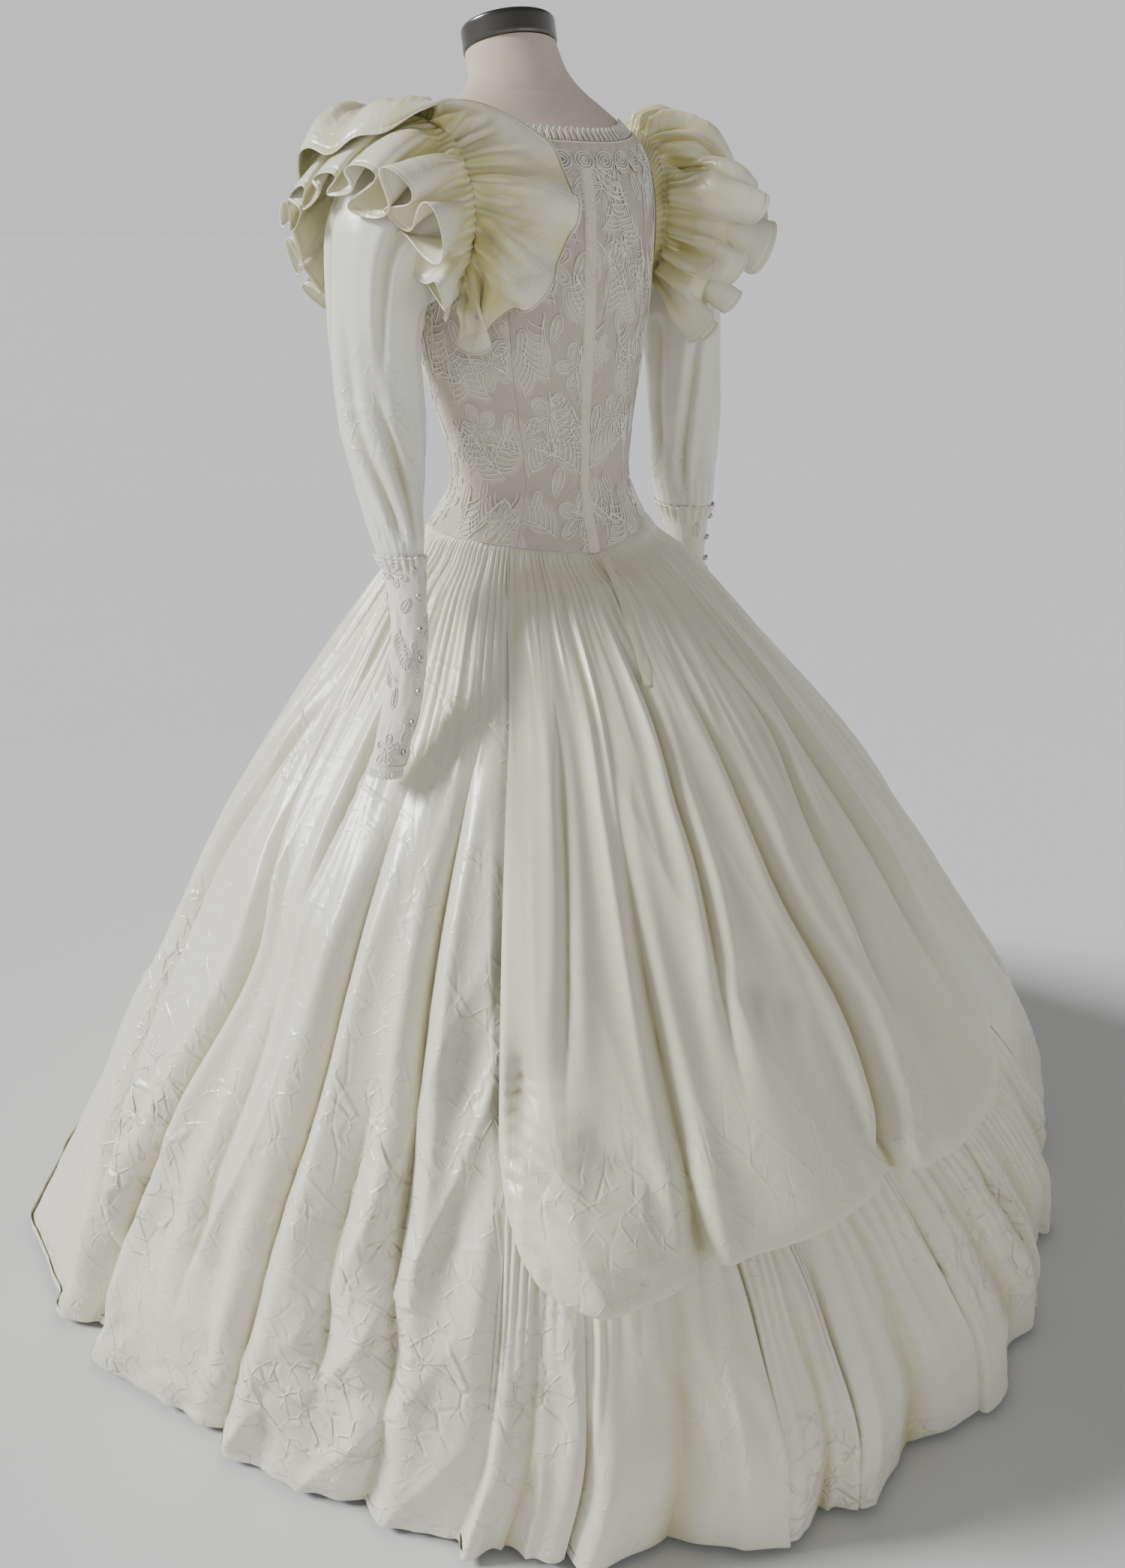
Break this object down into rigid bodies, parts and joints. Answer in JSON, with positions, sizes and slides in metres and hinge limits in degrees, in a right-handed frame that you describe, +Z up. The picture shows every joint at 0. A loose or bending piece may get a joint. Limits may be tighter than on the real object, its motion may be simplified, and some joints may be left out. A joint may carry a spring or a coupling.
{
  "type": "wedding dress on a dress form",
  "caption": "Long-sleeved lace and taffeta wedding dress with ruffled shoulders, a fitted bodice and a full skirt with a pouched back drape, on a limbless dress form.",
  "frame": {"origin": "centre of the stand's base on the floor", "axes": "+Z up; the dress faces -Y, its wearer's left is +X and its centre back is on +Y"},
  "size_m": [1.5253, 1.4949, 1.559],
  "materials": {
    "taffeta": "crisp, softly shining weave",
    "corded_lace": "matt, raised cord lines",
    "form_jersey": "matt fine knit",
    "brushed_steel": "brushed",
    "painted_steel": "satin black",
    "button": "pearly"
  },
  "bodies": {
    "root": {"bodice_centre_back_left": "corded_lace", "bodice_centre_back_right": "corded_lace", "bodice_centre_front": "corded_lace", "bodice_side_back_left": "corded_lace", "bodice_side_back_right": "corded_lace", "bodice_side_front_left": "corded_lace", "bodice_side_front_right": "corded_lace", "button_left_1": "button", "button_left_2": "button", "button_left_3": "button", "button_left_4": "button", "button_left_5": "button", "button_left_6": "button", "button_left_7": "button", "button_right_1": "button", "button_right_2": "button", "button_right_3": "button", "button_right_4": "button", "button_right_5": "button", "button_right_6": "button", "button_right_7": "button", "cuff_left": "corded_lace", "cuff_right": "corded_lace", "drape": "taffeta", "flounce": "taffeta", "form_base": "painted_steel", "form_neck_cap": "brushed_steel", "form_pole": "painted_steel", "form_torso": "form_jersey", "neck_lace_back": "corded_lace", "neck_lace_front": "corded_lace", "ruffle_inner_left": "taffeta", "ruffle_inner_right": "taffeta", "ruffle_outer_left": "taffeta", "ruffle_outer_right": "taffeta", "skirt_back": "taffeta", "skirt_front": "taffeta", "skirt_left": "taffeta", "skirt_placket": "taffeta", "skirt_right": "taffeta", "sleeve_left": "taffeta", "sleeve_right": "taffeta", "zip_lap": "taffeta"}
  },
  "joints": []
}
